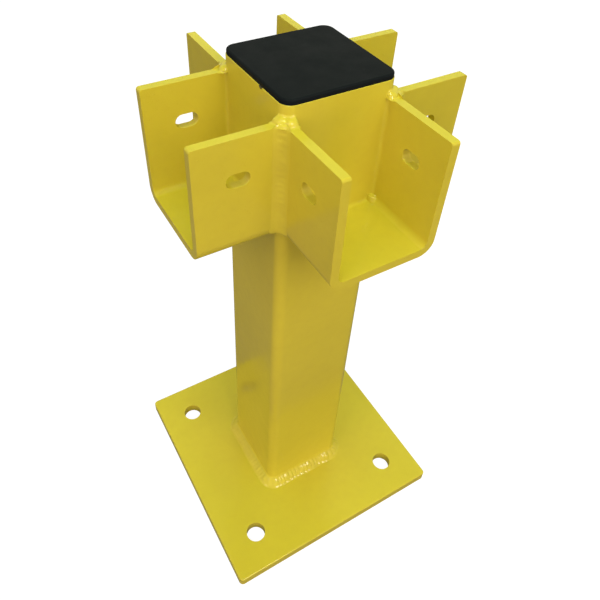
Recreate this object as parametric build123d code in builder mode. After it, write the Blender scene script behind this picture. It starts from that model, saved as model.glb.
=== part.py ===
"""Guard rail post with four drop-in brackets, for machine and conveyor guarding.

Millimetres, +Z up. The origin is the middle of the base plate's underside.
The front is -Y and the right is +X. Every piece is placed from the values below.
"""

import os
from math import cos, radians
from build123d import *

# Base plate
plate_side = 220.0
plate_thick = 10.0
plate_corner_r = 4.0
plate_edge_r = 1.2
anchor_pitch = 153.0
anchor_hole_d = 18.0

# Post tube, cold formed
tube_side = 80.0
tube_wall = 4.0
tube_corner_r = 8.0
tube_length = 440.0

# Brackets, each folded from one strip of plate. A rail end drops in from above.
# The flanges lie a little inside the tube's sides, which leaves the weld a gap.
flange_inset = 0.4
bracket_reach = 58.0
bracket_height = 84.0
bracket_drop = 11.0
sheet = 6.0
bend_inner_r = 5.0
flange_corner_r = 2.0
slot_length = 16.0
slot_height = 10.0
slot_below_top = 28.0
slot_from_tube = 29.0

# End cap, moulded in one piece with its plug. The tube's cut rim shows round it.
cap_inset = 0.4
cap_thick = 3.5
cap_edge_r = 1.4
plug_depth = 24.0
plug_wall = 2.0
fin_reach = 1.6
fin_clearance = 0.3
fin_thick = 1.2
fin_pitch = 8.0
fin_count = 2
web_thick = 1.6

# Weld beads. A leg is how far the bead reaches from its root along each side.
base_weld_leg = 8.0
corner_weld_leg = 7.0
floor_weld_leg = 6.0
weld_crown = 0.9
bead_past_bend = 6.0
blob_r = 6.5
blob_height = 5.5
blob_shoulder_r = 5.2
blob_shoulder_height = 3.4
blob_crown_r = 2.4
blob_inset = 2.0
tack_leg = 4.4
tack_sweep = 90.0

# Heights and half widths that follow from the values above
tube_half = tube_side / 2
tube_top = plate_thick + tube_length
bracket_half = tube_half - flange_inset
bracket_top = tube_top - bracket_drop
bracket_bottom = bracket_top - bracket_height
bend_outer_r = bend_inner_r + sheet
bend_height = bracket_bottom + bend_outer_r
slot_middle = bracket_top - slot_below_top

side_names = ["front", "right", "back", "left"]
corner_names = ["front_right", "back_right", "back_left", "front_left"]

os.makedirs("parts", exist_ok=True)


def side_plane(turns):
    """Upright plane on one face of the tube: x along the face, y up, z outward."""
    outward = Vector(0, -1, 0).rotate(Axis.Z, 90 * turns)
    along = Vector(1, 0, 0).rotate(Axis.Z, 90 * turns)
    return Plane(origin=outward * tube_half, x_dir=along, z_dir=outward)


def cross_plane(turns):
    """Upright plane square to that face: x outward, y up, z along the face."""
    side = side_plane(turns)
    return Plane(origin=side.origin, x_dir=side.z_dir, z_dir=-side.x_dir)


def tube_outline(inset):
    """The outline of the tube's section, moved inward by inset."""
    outline = RectangleRounded(tube_side, tube_side, tube_corner_r, mode=Mode.PRIVATE)
    if inset == 0:
        return outline
    return offset(outline, amount=-inset, mode=Mode.PRIVATE)


def save(piece, label):
    """Names a finished piece and writes its file."""
    piece.label = label
    export_step(piece, f"parts/{label}.step")


# Base plate: rounded corners, a broken top edge and four anchor holes
with BuildPart() as base_plate:
    with BuildSketch():
        RectangleRounded(plate_side, plate_side, plate_corner_r)
    extrude(amount=plate_thick)
    fillet(base_plate.faces().sort_by(Axis.Z)[-1].edges(), radius=plate_edge_r)
    with Locations((0, 0, plate_thick)):
        with GridLocations(anchor_pitch, anchor_pitch, 2, 2):
            Hole(radius=anchor_hole_d / 2)
save(base_plate.part, "base_plate")

# Post: square hollow section standing on the plate
with BuildPart() as post_tube:
    with BuildSketch(Plane.XY.offset(plate_thick)):
        add(tube_outline(0))
        add(tube_outline(tube_wall), mode=Mode.SUBTRACT)
    extrude(amount=tube_length)
save(post_tube.part, "post_tube")

# The tube's outer shape as a filled prism. It trims the welds and isn't a piece.
with BuildPart() as tube_envelope:
    with BuildSketch():
        add(tube_outline(0))
    extrude(amount=tube_top)


def make_bracket(turns):
    """One channel: a floor, two bends and two flanges, each with a slot for the pin."""
    side = side_plane(turns)
    inner_half = bracket_half - sheet
    floor_top = bracket_bottom + sheet
    with BuildPart() as bracket:
        with BuildSketch(side):
            with BuildLine():
                FilletPolyline(
                    (-inner_half, bracket_top),
                    (-inner_half, floor_top),
                    (inner_half, floor_top),
                    (inner_half, bracket_top),
                    radius=bend_inner_r,
                )
                offset(amount=sheet, side=Side.RIGHT)
            make_face()
        extrude(amount=bracket_reach)
        outer_end = bracket.faces().sort_by(Axis(side.origin, side.z_dir))[-1]
        fillet(outer_end.edges().group_by(Axis.Z)[-1], radius=flange_corner_r)
        with BuildSketch(cross_plane(turns)):
            with Locations((slot_from_tube, slot_middle)):
                SlotOverall(slot_length, slot_height)
        extrude(amount=tube_side, both=True, mode=Mode.SUBTRACT)
    return bracket.part


brackets = []
for turns, side_name in enumerate(side_names):
    brackets.append(make_bracket(turns))
    save(brackets[-1], f"bracket_{side_name}")

# End cap: a lid with rounded edges over a hollow plug, with fins that grip the
# tube's bore and two crossed webs that stiffen the plug
with BuildPart() as end_cap:
    with BuildSketch(Plane.XY.offset(tube_top)):
        add(tube_outline(cap_inset))
    extrude(amount=cap_thick)
    fillet(end_cap.faces().sort_by(Axis.Z)[-1].edges(), radius=cap_edge_r)
    fin_inset = tube_wall + fin_clearance
    plug_inset = fin_inset + fin_reach
    plug_bore_inset = plug_inset + plug_wall
    with BuildSketch(Plane.XY.offset(tube_top)):
        add(tube_outline(plug_inset))
        add(tube_outline(plug_bore_inset), mode=Mode.SUBTRACT)
    extrude(amount=-plug_depth)
    for number in range(fin_count):
        with BuildSketch(Plane.XY.offset(tube_top - (number + 1) * fin_pitch)):
            add(tube_outline(fin_inset))
            add(tube_outline(plug_bore_inset), mode=Mode.SUBTRACT)
        extrude(amount=-fin_thick)
    with BuildSketch(Plane.XY.offset(tube_top)):
        plug_width = tube_side - 2 * plug_inset
        Rectangle(plug_width, web_thick)
        Rectangle(web_thick, plug_width)
    extrude(amount=-plug_depth)
save(end_cap.part, "end_cap")


def bead_profile(leg):
    """A fillet bead's section: two legs from the root at 0, 0 and a crowned face."""
    middle = leg / 2 + weld_crown * cos(radians(45))
    with BuildSketch(Plane.XY, mode=Mode.PRIVATE) as profile:
        with BuildLine():
            Polyline((leg, 0), (0, 0), (0, leg))
            ThreePointArc((leg, 0), (middle, middle), (0, leg))
        make_face()
    return profile.sketch


# Base weld: the fillet bead carried round the tube's foot
foot = tube_outline(0).wire().moved(Pos(0, 0, plate_thick))
foot_start = Plane(origin=foot @ 0, x_dir=(foot % 0).cross(Vector(0, 0, 1)), z_dir=-(foot % 0))
foot_bead = bead_profile(base_weld_leg)
with BuildPart() as base_weld:
    with BuildSketch(foot_start):
        add(foot_bead)
    sweep(path=foot)
save(base_weld.part, "base_weld")


def make_corner_weld(turns):
    """The upright bead between two flanges and the tube's corner, with its top blob.

    Its lower end runs a little way round the two bends.
    """
    toe = tube_half + corner_weld_leg
    root = bracket_half - sheet
    middle = (toe + bracket_half) / 2 + weld_crown * cos(radians(45))
    along = Vector(1, 0, 0).rotate(Axis.Z, 90 * turns)
    lower_end = bend_height - bead_past_bend
    blob_side = tube_half - blob_inset
    blob = Vector(blob_side, -blob_side, bracket_top).rotate(Axis.Z, 90 * turns)
    blob_plane = Plane(origin=blob, x_dir=along, z_dir=along.cross(Vector(0, 0, 1)))
    with BuildPart() as weld:
        with BuildSketch(Plane(origin=(0, 0, lower_end), x_dir=along)):
            with BuildLine():
                Polyline(
                    (toe, -bracket_half),
                    (toe, -root),
                    (root, -root),
                    (root, -toe),
                    (bracket_half, -toe),
                )
                ThreePointArc((bracket_half, -toe), (middle, -middle), (toe, -bracket_half))
            make_face()
        extrude(amount=bracket_top - lower_end)
        with BuildSketch(blob_plane):
            with BuildLine():
                Polyline(
                    (0, 0),
                    (blob_r, 0),
                    (blob_shoulder_r, blob_shoulder_height),
                    (blob_crown_r, blob_height),
                    (0, blob_height),
                    close=True,
                )
            make_face()
        revolve(axis=Axis(blob, (0, 0, 1)))
        add(tube_envelope.part, mode=Mode.SUBTRACT)
        add(brackets[turns], mode=Mode.SUBTRACT)
        add(brackets[(turns + 1) % len(brackets)], mode=Mode.SUBTRACT)
    return weld.part


corner_welds = []
for turns, corner_name in enumerate(corner_names):
    corner_welds.append(make_corner_weld(turns))
    save(corner_welds[-1], f"corner_weld_{corner_name}")


def make_floor_weld(turns):
    """The bead under one bracket's floor, along its flat between the bends."""
    flat_half = bracket_half - bend_outer_r
    bead = bead_profile(floor_weld_leg)
    with BuildPart() as weld:
        with BuildSketch(cross_plane(turns)):
            with Locations(Location((0, bracket_bottom), -90)):
                add(bead)
        extrude(amount=flat_half, both=True)
    return weld.part


def make_tack_welds(turns):
    """The two tacks inside one bracket: short beads round its bends, against the tube."""
    side = side_plane(turns)
    bend_side = bracket_half - bend_outer_r
    with BuildPart() as tacks:
        for hand, start in ((-1, -side.x_dir), (1, -side.y_dir)):
            bend_centre = side.from_local_coords(Vector(hand * bend_side, bend_height, 0))
            root = bend_centre + start * bend_inner_r
            with BuildSketch(Plane(origin=root, x_dir=-start, z_dir=side.z_dir.cross(start))):
                with BuildLine():
                    Polyline((0, 0), (tack_leg, 0), (0, tack_leg), close=True)
                make_face()
            revolve(axis=Axis(bend_centre, side.z_dir), revolution_arc=tack_sweep)
    return tacks.part


for turns, side_name in enumerate(side_names):
    save(make_floor_weld(turns), f"floor_weld_{side_name}")
    save(make_tack_welds(turns), f"tack_welds_{side_name}")
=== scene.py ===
# %% [markdown]
# # A guard rail post, dressed over its CAD frame
#
# The real object is a short square steel post on an anchor plate. Four folded
# brackets are welded round its top, each takes the end of a guard rail, and a
# moulded cap closes the tube. Everything but the cap is sprayed yellow.
# The CAD model already gives every piece its size and place. Blender adds what
# CAD leaves out: broken edges, rippled weld beads, paint, plastic and light.

import math

import bmesh
import bpy
from mathutils import Matrix, Vector, noise


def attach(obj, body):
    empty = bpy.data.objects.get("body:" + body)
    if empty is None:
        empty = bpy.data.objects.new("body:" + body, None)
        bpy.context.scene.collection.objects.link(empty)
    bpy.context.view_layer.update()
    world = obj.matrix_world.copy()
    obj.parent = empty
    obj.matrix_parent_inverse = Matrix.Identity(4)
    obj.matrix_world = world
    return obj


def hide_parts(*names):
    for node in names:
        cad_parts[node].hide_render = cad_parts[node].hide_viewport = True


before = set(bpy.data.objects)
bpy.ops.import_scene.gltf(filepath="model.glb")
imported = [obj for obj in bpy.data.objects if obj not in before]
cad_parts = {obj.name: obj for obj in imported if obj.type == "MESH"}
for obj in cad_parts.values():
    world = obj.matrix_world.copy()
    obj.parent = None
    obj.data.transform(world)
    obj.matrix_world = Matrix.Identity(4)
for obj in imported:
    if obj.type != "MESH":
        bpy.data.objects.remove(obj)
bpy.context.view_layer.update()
mm = 0.001
print("CAD nodes:", len(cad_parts))

# %% [markdown]
# ## Camera
#
# The photograph is taken from the front left, a little above the cap. A camera
# could be nudged by eye until it looks right. Here it comes from the picture:
# points of known size on the post were matched to the camera, so that every
# edge falls where the photograph has it. The three directions below are the
# camera's right, down and forward, and Blender's camera looks along its own -Z.

# %% Place the camera
camera_place = Vector((-0.19323, -0.29313, 0.62097))
camera_right = Vector((0.86479, -0.500954, 0.034393))
camera_down = Vector((-0.321028, -0.604252, -0.72926))
camera_forward = Vector((0.386108, 0.619616, -0.683372))

camera = bpy.data.objects.new("photo_camera", bpy.data.cameras.new("photo_camera"))
bpy.context.scene.collection.objects.link(camera)
camera_turn = Matrix((camera_right, -camera_down, -camera_forward)).transposed()
camera.matrix_world = Matrix.Translation(camera_place) @ camera_turn.to_4x4()
camera.data.sensor_width = 36
camera.data.lens = 36.419
camera.data.shift_x = 0.025
camera.data.shift_y = -0.0833
camera.data.clip_start = 0.01
bpy.context.scene.camera = camera
tube_top = Vector((0, 0, 450 * mm))
print("camera to tube top, m:", round((camera_place - tube_top).length, 3))

# %% [markdown]
# ## Materials from nodes
#
# A material is a small network: places go in, and colour, gloss and bumps come
# out. A few helpers keep it readable. They add a node with its settings, a
# noise pattern, a stretched value, a colour mix or a bump. A pattern's size is
# given in marks per metre, so that it has the same scale on every piece.


# %% Node helpers
def connect(material, source, target):
    """Links two sockets of a material."""
    material.node_tree.links.new(source, target)


def add_node(material, kind, **settings):
    """Adds a node and sets its inputs by name, or its own values."""
    node = material.node_tree.nodes.new(kind)
    for name, value in settings.items():
        socket = node.inputs.get(name.replace("_", " "))
        if socket is None:
            setattr(node, name, value)
        elif isinstance(value, bpy.types.NodeSocket):
            connect(material, value, socket)
        else:
            socket.default_value = value
    return node


def pattern(material, place, marks, detail=2):
    """A noise pattern with about that many marks to the metre."""
    node = add_node(material, "ShaderNodeTexNoise", Vector=place, Scale=marks, Detail=detail)
    return node.outputs["Fac"]


def remap(material, value, span, to_span=(0, 1)):
    """Stretches one span of values over another, and clips at its ends."""
    node = add_node(material, "ShaderNodeMapRange", Value=value)
    for end, number, to_number in zip(("Min", "Max"), span, to_span):
        node.inputs["From " + end].default_value = number
        node.inputs["To " + end].default_value = to_number
    return node.outputs["Result"]


print("node helpers:", [helper.__name__ for helper in (connect, add_node, pattern, remap)])


# %% Colour and bump helpers
def blend_colours(material, amount, first, second):
    """Mixes two colours, or a colour socket and a colour."""
    node = add_node(material, "ShaderNodeMix", data_type="RGBA")
    connect(material, amount, node.inputs["Factor"])
    # the node's number and vector sockets come before its two colours and its result
    colour_sockets = node.inputs[6:8]
    for socket, colour in zip(colour_sockets, (first, second)):
        if isinstance(colour, bpy.types.NodeSocket):
            connect(material, colour, socket)
        else:
            socket.default_value = (*colour, 1)
    return node.outputs[2]


def bump(material, height, strength, depth, over=None):
    """Bumps that deep, laid over other bumps if there are any."""
    node = add_node(material, "ShaderNodeBump", Height=height, Strength=strength, Distance=depth)
    if over is not None:
        connect(material, over, node.inputs["Normal"])
    return node.outputs["Normal"]


def new_material(name):
    """A material with its shader and its place input ready."""
    material = bpy.data.materials.new(name)
    material.use_nodes = True
    material.node_tree.nodes.clear()
    place = add_node(material, "ShaderNodeTexCoord").outputs["Object"]
    shader = add_node(material, "ShaderNodeBsdfPrincipled")
    output = add_node(material, "ShaderNodeOutputMaterial")
    connect(material, shader.outputs["BSDF"], output.inputs["Surface"])
    return material, place, shader


print("more helpers:", [helper.__name__ for helper in (blend_colours, bump, new_material)])

# %% [markdown]
# ## Yellow enamel
#
# The paint is a thick gloss enamel. Close up it isn't one colour: it is a touch
# deeper where it went on thicker, and it is mottled with small warmer marks.
# One flat colour would look like plastic, so two sizes of noise mix three
# yellows that lie close together.

# %% Enamel colour
deep_yellow = (0.645, 0.547, 0.039)
light_yellow = (0.69, 0.587, 0.045)
warm_yellow = (0.61, 0.495, 0.042)

yellow_paint, place, shader = new_material("yellow_enamel")
clouds = remap(yellow_paint, pattern(yellow_paint, place, marks=9, detail=3), (0.35, 0.65))
enamel = blend_colours(yellow_paint, clouds, deep_yellow, light_yellow)
mottle = remap(yellow_paint, pattern(yellow_paint, place, marks=130, detail=3), (0.4, 0.75), (0, 0.25))
enamel = blend_colours(yellow_paint, mottle, enamel, warm_yellow)
print("nodes for the colour:", len(yellow_paint.node_tree.nodes))

# %% [markdown]
# At the tube's top edge, under the cap, a flake of paint has come off and dark
# steel shows. It could be cut into the mesh, but it is no deeper than the
# paint. So it is a matter of distance: near one point the colour is steel.
# Noise is added to the distance, which gives the flake its ragged rim.

# %% Chipped flake
bare_steel = (0.05, 0.045, 0.03)
flake_place = tuple(value * mm for value in (-40.0, -12.0, 450.6))
flake_inside = 3.3 * mm
flake_outside = 3.6 * mm
raggedness = 2.6 * mm

from_flake = add_node(yellow_paint, "ShaderNodeVectorMath", operation="DISTANCE")
connect(yellow_paint, place, from_flake.inputs[0])
from_flake.inputs[1].default_value = flake_place
ragged = add_node(yellow_paint, "ShaderNodeMath", operation="MULTIPLY_ADD")
connect(yellow_paint, pattern(yellow_paint, place, marks=900), ragged.inputs[0])
ragged.inputs[1].default_value = raggedness
connect(yellow_paint, from_flake.outputs["Value"], ragged.inputs[2])
flake = remap(yellow_paint, ragged.outputs[0], (flake_inside, flake_outside), (1, 0))
enamel = blend_colours(yellow_paint, flake, enamel, bare_steel)
connect(yellow_paint, enamel, shader.inputs["Base Color"])
print("flake at, mm:", [round(value / mm, 1) for value in flake_place])

# %% [markdown]
# The enamel's gloss varies a little from place to place. Its coat is uneven over
# a centimetre or two, it has fine orange peel over that, and dust under it
# leaves small pips. These are far too shallow to model, so they are three
# bumps, each laid over the one before.

# %% Enamel gloss and bumps
gloss = remap(yellow_paint, pattern(yellow_paint, place, marks=24, detail=4), (0.3, 0.7), (0.11, 0.19))
connect(yellow_paint, gloss, shader.inputs["Roughness"])
shader.inputs["Specular IOR Level"].default_value = 0.35

coat = pattern(yellow_paint, place, marks=55)
uneven_coat = bump(yellow_paint, coat, strength=0.25, depth=1.2 * mm)
peel = pattern(yellow_paint, place, marks=320, detail=1)
orange_peel = bump(yellow_paint, peel, strength=0.12, depth=0.4 * mm, over=uneven_coat)
dust = remap(yellow_paint, pattern(yellow_paint, place, marks=700, detail=0), (0.74, 0.82))
pips = bump(yellow_paint, dust, strength=0.35, depth=0.25 * mm, over=orange_peel)
connect(yellow_paint, pips, shader.inputs["Normal"])
print("yellow enamel nodes:", len(yellow_paint.node_tree.nodes))

# %% [markdown]
# ## Black moulded plastic
#
# The cap is injection moulded. Its lid is near black and satin, with a fine
# eroded grain and a few rubbed places where it was pushed home.

# %% Black plastic
moulded_black = (0.0072, 0.0096, 0.0112)
rubbed_black = (0.0080, 0.0108, 0.0124)

black_cap, place, shader = new_material("black_plastic")
rubbed = remap(black_cap, pattern(black_cap, place, marks=45, detail=4), (0.45, 0.7))
plastic = blend_colours(black_cap, rubbed, moulded_black, rubbed_black)
connect(black_cap, plastic, shader.inputs["Base Color"])
satin = remap(black_cap, pattern(black_cap, place, marks=70, detail=4), (0.3, 0.7), (0.42, 0.56))
connect(black_cap, satin, shader.inputs["Roughness"])
shader.inputs["Specular IOR Level"].default_value = 0.04
grain = bump(black_cap, pattern(black_cap, place, marks=2600), strength=0.3, depth=0.08 * mm)
connect(black_cap, grain, shader.inputs["Normal"])
print("black plastic nodes:", len(black_cap.node_tree.nodes))

# %% [markdown]
# ## Cap
#
# The cap is already right in CAD, with its rounded lid and the plug inside the
# tube, so its node stays and only takes its new material.


# %% Cap
def wear(piece, material):
    """Gives a piece one material."""
    piece.data.materials.clear()
    piece.data.materials.append(material)


wear(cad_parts["end_cap"], black_cap)
print("the cap wears", black_cap.name)

# %% [markdown]
# ## Plate, tube and brackets
#
# These are cut from steel, and a CAD cut edge is perfectly sharp, which looks
# false: the paint rounds every edge, and the rounding catches a thin line of
# light. The pieces could be modelled again, but their shapes are already right.
# So a copy of each CAD mesh is merged, and a Bevel modifier rounds the edges
# that are sharper than 35 degrees. A Weighted Normal modifier then keeps the
# large faces flat and leaves the shading to the narrow ones. The brackets'
# edges look rounder in the photograph, so their rounding is twice as wide.


# %% A finished piece
def finish_piece(bm, name, stands_for=None):
    """Makes a bmesh a painted object of the post, in place of its CAD node."""
    mesh = bpy.data.meshes.new(name)
    bm.to_mesh(mesh)
    bm.free()
    mesh.shade_smooth()
    piece = bpy.data.objects.new(name, mesh)
    bpy.context.scene.collection.objects.link(piece)
    wear(piece, yellow_paint)
    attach(piece, "root")
    if stands_for:
        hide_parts(stands_for)
    print(name, "faces:", len(mesh.polygons))
    return piece


print("finished pieces wear", yellow_paint.name)

# %% Round the painted edges
cut_edge = math.radians(35)
bracket_round = 0.8 * mm
steel_round = 0.4 * mm


def painted_copy(node, name, paint_round):
    """A merged copy of one CAD piece, with its cut edges rounded by paint."""
    bm = bmesh.new()
    bm.from_mesh(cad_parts[node].data)
    bmesh.ops.remove_doubles(bm, verts=bm.verts[:], dist=0.001 * mm)
    piece = finish_piece(bm, name, node)
    rounding = piece.modifiers.new("paint_round", "BEVEL")
    rounding.limit_method = "ANGLE"
    rounding.angle_limit = cut_edge
    rounding.width = paint_round
    rounding.segments = 3
    rounding.loop_slide = False
    rounding.harden_normals = True
    flats = piece.modifiers.new("flat_faces", "WEIGHTED_NORMAL")
    flats.keep_sharp = True


sides = ["front", "right", "back", "left"]
for side in sides:
    painted_copy("bracket_" + side, "folded_bracket_" + side, bracket_round)
painted_copy("post_tube", "square_tube", steel_round)
painted_copy("base_plate", "anchor_plate", steel_round)

# %% [markdown]
# ## Weld beads
#
# A weld bead is a row of frozen ripples: the welder's puddle moves on by about
# four millimetres, freezes, and moves on again. Each ripple is a crescent, and
# the bead's two edges, its toes, wander a little. A bump map could fake this,
# but the ripples catch light in the photograph and so they are real geometry.
#
# Every bead is first made as a straight blank along X, with the corner that it
# fills at Y = Z = 0. One vertex is spun a quarter turn into the bead's section,
# the section is closed at the root, and it is spun along without turning. The
# ripples are pressed in while the bead is still straight. Only then is the bead
# laid where the CAD says, round the tube's foot or up a corner.

# %% A straight bead blank
section_steps = 14
ring_gap = 0.45 * mm


def bead_blank(length):
    """A quarter-round bar along X, 1 unit in radius, with its root closed."""
    bm = bmesh.new()
    toe = bm.verts.new((0, 1, 0))
    here = dict(cent=(0, 0, 0), axis=(1, 0, 0))
    bmesh.ops.spin(bm, geom=[toe], dvec=(0, 0, 0), angle=math.radians(90), steps=section_steps, **here)
    root = bm.verts.new((0, 0, 0))
    for end in [vert for vert in bm.verts if len(vert.link_edges) == 1]:
        bm.edges.new((end, root))
    rings = round(length / ring_gap)
    section = bm.verts[:] + bm.edges[:]
    bmesh.ops.spin(bm, geom=section, dvec=(length / rings, 0, 0), angle=0, steps=rings, **here)
    return bm


trial = bead_blank(10 * mm)
print("a 10 mm blank has", len(trial.faces), "faces")
trial.free()

# %% [markdown]
# The ripple is a row of round crests with sharp valleys between them, which is
# the shape of a sine without its sign. A slower noise makes some stretches
# bold and others nearly smooth, as a real hand-laid bead is, and another slips
# each ripple off its even place. The noise reads the place where a point will
# end up, so a bead that closes on itself has no seam. The toes are feathered:
# thick paint has run into them, so the bead flows into the plate and doesn't
# meet it at a step. A bead that is bent round a tight corner can come out with
# its faces inwards. Its volume is then below zero, and its faces are reversed.

# %% How a bead ripples
ripple_pitch = 4.4 * mm
ripple_lag = 1.1  # bends each ripple into a crescent
ripple_power = 0.75  # under 1, crests grow fat and valleys thin
valley_share = 0.55  # the part of a ripple below the smooth bead
usual_boldness = 0.5  # of the ripple's height
boldness_swing = 0.8
least_boldness = 0.1
bold_marks = 45  # marks of noise to the metre, here and below
slip_swing = 0.65  # in ripples
slip_marks = 110
feather_angle = 0.07  # how soon a toe's feather ends, in radians
toe_marks = 90
grit_share = 0.3  # of the toes' wander
grit_marks = 420
end_share = 0.6  # an open end is rounded over this share of the leg
sunk = 0.15 * mm  # how far a root lies inside the steel
print("ripples to 100 mm of bead:", round(100 * mm / ripple_pitch))


# %% Press the ripples in
def unevenness(point, marks, seed):
    """Smooth noise from -1 to 1, with about that many marks to the metre."""
    return noise.noise(point * marks + Vector((seed * 7.3, seed * 3.1, seed * 1.7)))


def face_outwards(bm):
    """Makes the faces of one closed bead point outwards."""
    bmesh.ops.recalc_face_normals(bm, faces=bm.faces[:])
    if bm.calc_volume(signed=True) < 0:
        bmesh.ops.reverse_faces(bm, faces=bm.faces[:])


def ripple_bead(
    bm, length, lay, seed, leg, crown, ripple, feather, wander=0.5 * mm, closed=False, lumps=()
):
    """Gives a blank its size, crown, ripples and uneven toes, then lays it in place."""
    quarter_turn = math.radians(90)
    ripples = max(1, round(length / ripple_pitch))
    for vert in bm.verts:
        along, out, up = vert.co
        if math.hypot(out, up) < 0.5:
            vert.co = lay(along, -sunk, -sunk)
            continue
        spot = lay(along, leg / 2, leg / 2)
        # across runs from 0 at one toe to 1 at the other, and angle crowds towards both
        across = math.atan2(up, out) / quarter_turn
        angle = quarter_turn / 2 * (1 - math.cos(math.pi * across))
        middle = max(0.0, math.sin(2 * angle))
        bold = usual_boldness + boldness_swing * unevenness(spot, bold_marks, seed)
        slip = slip_swing * unevenness(spot, slip_marks, seed + 1)
        phase = along / length * ripples + ripple_lag * (across - 0.5) ** 2 + slip
        crest = abs(math.sin(math.pi * phase)) ** ripple_power - valley_share
        # reach is how far the bead's face lies from its root
        reach = leg / (math.cos(angle) + math.sin(angle)) + crown * middle
        near_toes = math.exp(-angle / feather_angle) + math.exp((angle - quarter_turn) / feather_angle)
        reach += feather * near_toes
        reach += ripple * max(least_boldness, bold) * crest * middle**0.5
        toe_spot = spot + Vector((0, 0, across * 4 * mm))
        reach += wander * unevenness(toe_spot, toe_marks, seed + 2)
        grit_spot = spot + Vector((across * 6 * mm, 0, 0))
        reach += grit_share * wander * unevenness(grit_spot, grit_marks, seed + 3)
        for lump_along, wide, high in lumps:
            apart = along - lump_along
            if closed:
                apart = (apart + length / 2) % length - length / 2
            reach += high * middle * math.exp(-((apart / wide) ** 2))
        if not closed:
            from_end = min(along, length - along) / (end_share * leg)
            reach *= math.sqrt(max(0.0, 1 - max(0.0, 1 - from_end) ** 2))
        vert.co = lay(along, reach * math.cos(angle) - sunk, reach * math.sin(angle) - sunk)
    bmesh.ops.remove_doubles(bm, verts=bm.verts[:], dist=0.01 * mm)
    face_outwards(bm)


print("the boldest ripples are", usual_boldness + boldness_swing, "times their size at most")


# %% Finish a bead
toe_fold = math.radians(75)


def finish_bead(bm, name, stands_for=None):
    """Marks the fold at a bead's toes as sharp, so that the shading stops there."""
    for edge in bm.edges:
        edge.smooth = edge.calc_face_angle(0) < toe_fold
    finish_piece(bm, name, stands_for)


def turned(turns):
    """The rotation that takes what is made for the front to another side."""
    return Matrix.Rotation(math.radians(90) * turns, 3, "Z")


print("a bead's shading stops at folds over", round(math.degrees(toe_fold)), "degrees")

# %% [markdown]
# ### Base weld
#
# This bead runs round the tube's foot in one closed loop. The tube's outline is
# four flats and four rounded corners, so the way round is told as a distance:
# a small function turns a distance into a point and the direction outwards.
# On the near side the photograph shows swellings and dips, and five lumps give
# them. Each has its place along the bead, its width and its height.

# %% The way round the tube
tube_half = 40 * mm
tube_corner = 8 * mm
flat = 2 * (tube_half - tube_corner)
corner = tube_corner * math.radians(90)
way_round = 4 * (flat + corner)


def on_tube(along):
    """The point on the tube's outline that far round it, and the way out."""
    quarter, rest = divmod(along % way_round, flat + corner)
    if rest < flat:
        point = Vector((rest - flat / 2, -tube_half, 0))
        outward = Vector((0, -1, 0))
    else:
        angle = (rest - flat) / tube_corner
        outward = Vector((math.sin(angle), -math.cos(angle), 0))
        point = Vector((flat / 2, -flat / 2, 0)) + outward * tube_corner
    return turned(quarter) @ point, turned(quarter) @ outward


print("way round the tube, mm:", round(way_round / mm, 1))

# %% Base weld
plate_top = 10 * mm


def lay_on_plate(along, out, up):
    """Lays a bead's point round the tube's foot."""
    point, outward = on_tube(along)
    return point + outward * out + Vector((0, 0, plate_top + up))


foot_lumps = [
    (6 * mm, 5 * mm, 0.7 * mm),
    (20 * mm, 4 * mm, -0.5 * mm),
    (33 * mm, 6 * mm, 0.7 * mm),
    (46 * mm, 4 * mm, -0.9 * mm),
    (57 * mm, 4.5 * mm, 1.0 * mm),
]
foot_size = dict(leg=7.6 * mm, crown=0.5 * mm, ripple=0.85 * mm, feather=1.8 * mm)
bm = bead_blank(way_round)
ripple_bead(bm, way_round, lay_on_plate, seed=54, closed=True, lumps=foot_lumps, **foot_size)
finish_bead(bm, "foot_bead", "base_weld")

# %% [markdown]
# ### Corner welds
#
# The upright beads fill the corner between two neighbouring flanges. On top the
# welder ended with a short turn round the tube's corner, over both flanges'
# upper edges, and the puddle froze there as an uneven lump. That turn is one
# more bead, a little wider than high, with two lumps and much wander.

# %% Corner welds
corner_names = ["front_right", "back_right", "back_left", "front_left"]
bracket_half = 39.6 * mm
bracket_top = 439 * mm
bead_foot = 359 * mm
upright_length = bracket_top - bead_foot + 2.2 * mm
turn_length = 14 * mm
turn_widening = 1.15
turn_flattening = 0.9
corner_middle = flat + corner / 2
upright_size = dict(leg=6.0 * mm, crown=-0.3 * mm, ripple=0.36 * mm, feather=2.2 * mm)
turn_size = dict(leg=4.4 * mm, crown=0.8 * mm, ripple=0.6 * mm, feather=1.7 * mm, wander=0.7 * mm)
turn_lumps = [(4.5 * mm, 2.2 * mm, 0.9 * mm), (9.5 * mm, 1.8 * mm, 0.8 * mm)]


def join_beads(first, second):
    """Adds the second bead's mesh to the first."""
    mesh = bpy.data.meshes.new("bead")
    second.to_mesh(mesh)
    second.free()
    first.from_mesh(mesh)
    bpy.data.meshes.remove(mesh)


def corner_bead(turns, name):
    """One upright bead with its lump on top."""

    def lay_up_corner(along, out, up):
        return turned(turns) @ Vector((bracket_half + out, -bracket_half - up, bead_foot + along))

    def lay_over_top(along, out, up):
        point, outward = on_tube(corner_middle - turn_length / 2 + along)
        rise = Vector((0, 0, bracket_top + up * turn_flattening))
        return turned(turns) @ (point + outward * out * turn_widening + rise)

    upright = bead_blank(upright_length)
    ripple_bead(upright, upright_length, lay_up_corner, seed=10 + turns, **upright_size)
    over_top = bead_blank(turn_length)
    ripple_bead(over_top, turn_length, lay_over_top, seed=20 + turns, lumps=turn_lumps, **turn_size)
    join_beads(upright, over_top)
    finish_bead(upright, "corner_bead_" + name, "corner_weld_" + name)


for turns, name in enumerate(corner_names):
    corner_bead(turns, name)

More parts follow.
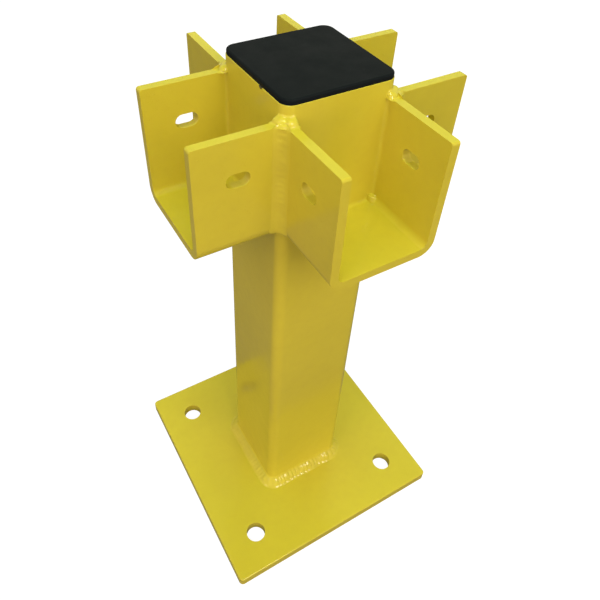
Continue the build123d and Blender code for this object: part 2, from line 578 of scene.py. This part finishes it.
# %% [markdown]
# ### Beads under the floors, and the small tacks
#
# Under each bracket a short bead joins its floor to the tube. Inside, two tacks
# held the bracket while it was welded: each one is a few ripples long and lies
# in the bend, against the tube. The same blank makes both. Only the way it is
# laid changes: straight under the floor, and round the bend for a tack.

# %% Floor beads
bracket_bottom = 355 * mm
bend_side = 28.6 * mm
floor_length = 2 * bend_side
floor_size = dict(leg=5.6 * mm, crown=0.6 * mm, ripple=0.4 * mm, feather=0.8 * mm)


def floor_bead(turns, side):
    """The bead under one bracket's floor."""

    def lay_under_floor(along, out, up):
        across = along - floor_length / 2
        return turned(turns) @ Vector((across, -tube_half - out, bracket_bottom - up))

    bm = bead_blank(floor_length)
    ripple_bead(bm, floor_length, lay_under_floor, seed=30 + turns, **floor_size)
    finish_bead(bm, "floor_bead_" + side, "floor_weld_" + side)


print("a floor bead's length, mm:", round(floor_length / mm, 1))

# %% Tacks
bend_height = 366 * mm
bend_inner = 5 * mm
bend_length = bend_inner * math.radians(90)
tack_size = dict(leg=5.2 * mm, crown=0.8 * mm, ripple=0.5 * mm, feather=0.8 * mm)


def tack_pair(turns, side):
    """The two tacks inside one bracket."""
    pair = bmesh.new()
    for hand in (-1, 1):

        def lay_in_bend(along, out, up):
            angle = math.radians(90) * along / bend_length
            across = hand * (bend_side + (bend_inner - up) * math.sin(angle))
            height = bend_height - (bend_inner - up) * math.cos(angle)
            return turned(turns) @ Vector((across, -tube_half - out, height))

        tack = bead_blank(bend_length)
        ripple_bead(tack, bend_length, lay_in_bend, seed=40 + 2 * turns + hand, **tack_size)
        join_beads(pair, tack)
    finish_bead(pair, "tacks_" + side, "tack_welds_" + side)


for turns, side in enumerate(sides):
    floor_bead(turns, side)
    tack_pair(turns, side)

# %% [markdown]
# ### Paint in the seams
#
# Inside a bracket the flanges and the floor only touch the tube. On the real
# post no dark gap shows there, because thick enamel has filled the joint with a
# small hollow fillet. A dark line would be wrong, so each bracket gets such a
# fillet. It goes down one flange, through the bends and up the other flange.
# Its ends are open after the spin, so they are filled.

# %% The way through a bracket
flange_inside = 33.6 * mm
floor_top = 361 * mm
fillet_top = bracket_top - 0.4 * mm
wall_run = fillet_top - bend_height
channel_run = 2 * (wall_run + bend_length + bend_side)


def in_channel(along):
    """The point that far along the channel's inside, and the way to its middle."""
    left = along < channel_run / 2
    rest = along if left else channel_run - along
    hand = -1 if left else 1
    if rest < wall_run:
        return Vector((hand * flange_inside, 0, fillet_top - rest)), Vector((-hand, 0, 0))
    if rest < wall_run + bend_length:
        angle = (rest - wall_run) / bend_inner
        way = Vector((-hand * math.cos(angle), 0, math.sin(angle)))
        return Vector((hand * bend_side, 0, bend_height)) - way * bend_inner, way
    across = hand * (bend_side - (rest - wall_run - bend_length))
    return Vector((across, 0, floor_top)), Vector((0, 0, 1))


print("way through a bracket, mm:", round(channel_run / mm, 1))

# %% Seam fillets
fillet_leg = 2.4 * mm
fillet_swing = 0.3
fillet_marks = 60
fillet_edge = 0.03 * mm  # how far its thin edges lie inside the steel


def seam_fillet(turns, side):
    """The hollow paint fillet between one bracket's inside and the tube."""
    bm = bead_blank(channel_run)
    for vert in bm.verts:
        along, out, up = vert.co
        point, way = in_channel(along)
        if math.hypot(out, up) < 0.5:
            out = up = -sunk
        else:
            uneven = unevenness(turned(turns) @ point, fillet_marks, 50 + turns)
            size = fillet_leg * (1 + fillet_swing * uneven)
            # the way from the root to a round hollow that touches both steel faces
            spread = out + up
            reach = size * (spread - math.sqrt(max(0.0, spread**2 - 1)))
            out, up = reach * out - fillet_edge, reach * up - fillet_edge
        vert.co = turned(turns) @ (point + way * up + Vector((0, -tube_half - out, 0)))
    bmesh.ops.holes_fill(bm, edges=bm.edges[:], sides=0)
    face_outwards(bm)
    finish_bead(bm, "seam_fillet_" + side)


for turns, side in enumerate(sides):
    seam_fillet(turns, side)

# %% [markdown]
# ## Floor and light
#
# The photograph shows the post on plain white, but its glossy paint mirrors a
# dim floor and a dim room. White paper under it would make every grazing face
# pale. So what a ray meets here depends on the ray, and Light Path tells them
# apart. A camera ray sees white. A ray from a mirror or through glass sees a
# small share of that white. A ray that lights the post sees a grey floor and a
# softly tinted room.


# %% What each ray sees
def seen_directly(material, in_mirrors):
    """1 for camera rays, that share of 1 for mirror and see-through rays, 0 for light."""
    rays = add_node(material, "ShaderNodeLightPath").outputs
    mirrored = add_node(material, "ShaderNodeMath", operation="MAXIMUM")
    connect(material, rays["Is Glossy Ray"], mirrored.inputs[0])
    connect(material, rays["Is Transmission Ray"], mirrored.inputs[1])
    share = add_node(material, "ShaderNodeMath", operation="MULTIPLY")
    connect(material, mirrored.outputs[0], share.inputs[0])
    share.inputs[1].default_value = in_mirrors
    seen = add_node(material, "ShaderNodeMath", operation="MAXIMUM")
    connect(material, rays["Is Camera Ray"], seen.inputs[0])
    connect(material, share.outputs[0], seen.inputs[1])
    return seen.outputs[0]


floor_in_mirrors = 0.03
room_in_mirrors = 0.1
print("share of the white in mirrors:", floor_in_mirrors, "floor,", room_in_mirrors, "room")

# %% Floor
floor_half = 6
floor_greys = (0.12, 0.12, 0.12), (0.14, 0.14, 0.14)
floor_glow = (0.02, 0.97)  # in light rays, and to the camera

floor_bm = bmesh.new()
bmesh.ops.create_grid(floor_bm, x_segments=1, y_segments=1, size=floor_half)
floor_mesh = bpy.data.meshes.new("studio_floor")
floor_bm.to_mesh(floor_mesh)
floor_bm.free()
studio_floor = bpy.data.objects.new("studio_floor", floor_mesh)
bpy.context.scene.collection.objects.link(studio_floor)

floor_white, place, shader = new_material("floor_white")
shader.inputs["Roughness"].default_value = 0.9
shader.inputs["Specular IOR Level"].default_value = 0
paper = blend_colours(floor_white, pattern(floor_white, place, marks=6), *floor_greys)
connect(floor_white, paper, shader.inputs["Base Color"])
shader.inputs["Emission Color"].default_value = (1, 1, 1, 1)
glow = remap(floor_white, seen_directly(floor_white, floor_in_mirrors), (0, 1), floor_glow)
connect(floor_white, glow, shader.inputs["Emission Strength"])
wear(studio_floor, floor_white)
print("floor is", 2 * floor_half, "m wide")

# %% [markdown]
# The room round the post lights it from every side. It is a touch red near the
# horizon and green overhead, which gives the upright and the level faces the
# two yellows that the photograph has.

# %% Room
low_tint = (1.0, 0.83, 0.82)
overhead_tint = (0.40, 0.56, 0.30)
room_strength = 0.8

room = bpy.data.worlds.new("white_room")
room.use_nodes = True
room.node_tree.nodes.clear()
direction = add_node(room, "ShaderNodeTexCoord").outputs["Generated"]
split = add_node(room, "ShaderNodeSeparateXYZ")
connect(room, direction, split.inputs[0])
upward = remap(room, split.outputs["Z"], (0, 1))
room_tint = blend_colours(room, upward, low_tint, overhead_tint)
fill = add_node(room, "ShaderNodeBackground", Color=room_tint, Strength=room_strength)
backdrop = add_node(room, "ShaderNodeBackground", Color=(1, 1, 1, 1), Strength=1.0)
either = add_node(room, "ShaderNodeMixShader")
connect(room, seen_directly(room, room_in_mirrors), either.inputs[0])
connect(room, fill.outputs[0], either.inputs[1])
connect(room, backdrop.outputs[0], either.inputs[2])
room_output = add_node(room, "ShaderNodeOutputWorld")
connect(room, either.outputs[0], room_output.inputs["Surface"])
bpy.context.scene.world = room
print("room strength:", room_strength)

# %% [markdown]
# Six square lamps do the rest. The wide one in front and the one at the left
# give the post its shape, the low one reaches in under the brackets, and the
# back and overhead ones part the far faces from each other. A wide lamp blurs
# the welds' small glints, so one narrower lamp is seen in gloss alone. The
# front, low and back lamps give light but no mirror image, because the
# photograph's flat faces show none.


# %% Lamps
def soft_box(name, place, aim_height, width, power, colour, gives_light=True, in_gloss=True):
    """A square studio lamp that points at the post and stays out of the picture."""
    lamp = bpy.data.objects.new(name, bpy.data.lights.new(name, "AREA"))
    bpy.context.scene.collection.objects.link(lamp)
    lamp.data.shape = "SQUARE"
    lamp.data.size = width
    lamp.data.energy = power
    lamp.data.color = colour
    lamp.location = place
    aim = Vector((0, 0, aim_height)) - Vector(place)
    lamp.rotation_euler = aim.to_track_quat("-Z", "Y").to_euler()
    lamp.visible_camera = False
    lamp.visible_diffuse = gives_light
    lamp.visible_glossy = in_gloss
    print(name, "W:", power)


soft_box("overhead_lamp", (-0.1, -0.15, 1.45), 0.3, 0.2, 3.2, (0.8, 1.0, 0.62))
soft_box("glint_lamp", (0.03, -1.7, 1.75), 0.3, 0.8, 36, (1.0, 0.95, 0.9), gives_light=False)
soft_box("left_lamp", (-1.65, -0.5, 1.7), 0.3, 1.0, 8.6, (1.0, 0.71, 0.98))
soft_box("low_lamp", (-1.1, -1.3, 0.3), 0.25, 0.6, 4.3, (1.0, 0.74, 0.9), in_gloss=False)
soft_box("front_lamp", (0.03, -1.8, 1.65), 0.3, 1.3, 20.3, (1.0, 0.86, 0.84), in_gloss=False)
soft_box("back_lamp", (0.75, 0.9, 1.3), 0.25, 1.0, 4.8, (0.95, 1.0, 0.74), in_gloss=False)

# %% [markdown]
# ## View transform
#
# The Standard view transform shows colours as they are written.

# %% Finish
bpy.context.scene.view_settings.view_transform = "Standard"
